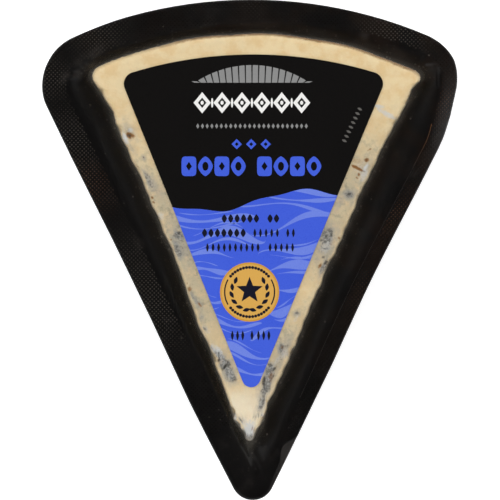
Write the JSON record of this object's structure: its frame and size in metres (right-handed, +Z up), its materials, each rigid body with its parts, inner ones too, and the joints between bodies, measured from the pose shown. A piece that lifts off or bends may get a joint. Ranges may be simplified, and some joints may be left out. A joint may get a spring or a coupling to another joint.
{
  "type": "packed blue cheese wedge",
  "caption": "Wedge of blue cheese vacuum packed in a black film base with a clear lid film and a printed wedge label.",
  "frame": {"origin": "on the surface that the pack lies on, under the middle of the pack's outline", "axes": "+Z up out of the label, +Y from the tip of the wedge to its curved rind, +X to the right of the label"},
  "size_m": [0.1036, 0.1252, 0.0291],
  "materials": {
    "base_film": "black film with a soft sheen and a knurled heat seal round the rim",
    "cheese": "moist cream paste with blue-grey mould veins; matte plastic stands in for cheese",
    "lid_film": "thin clear glossy film; glass stands in for clear plastic",
    "label": "printed label, black above and blue below, with a soft sheen"
  },
  "bodies": {
    "root": {"base_film": "base_film", "cheese_wedge": "cheese", "lid_film": "lid_film", "front_label": "label"}
  },
  "joints": []
}
